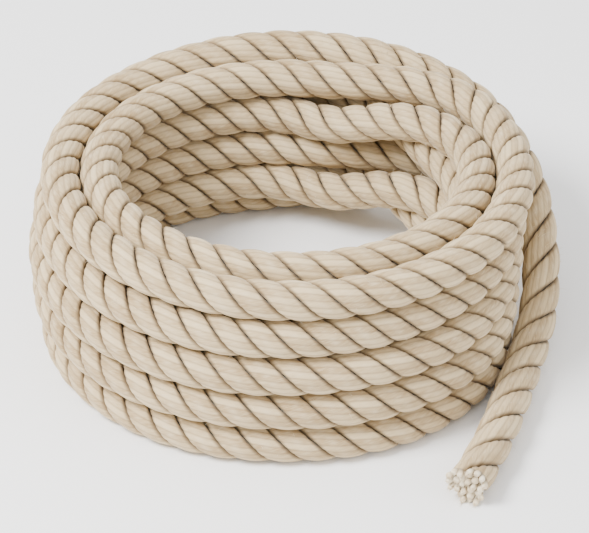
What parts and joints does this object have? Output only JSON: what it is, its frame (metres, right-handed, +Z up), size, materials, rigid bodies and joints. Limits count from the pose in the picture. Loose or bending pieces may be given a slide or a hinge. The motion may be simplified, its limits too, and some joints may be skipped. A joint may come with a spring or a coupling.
{
  "type": "coiled rope",
  "caption": "Neat round coil of thick twisted rope, with a loose end that slides down its side to the floor and a frayed cut tip.",
  "frame": {"origin": "middle of the whole object's footprint, on the surface that it rests on", "axes": "+Z up along the coil's axis, +Y to the back, where the turns cross, and +X to the right, where the loose end comes down"},
  "size_m": [0.2728, 0.2866, 0.1021],
  "materials": {
    "rope": "matt undyed twisted hemp, slightly worn"
  },
  "bodies": {
    "root": {"coil": "rope", "loose_end": "rope"}
  },
  "joints": []
}
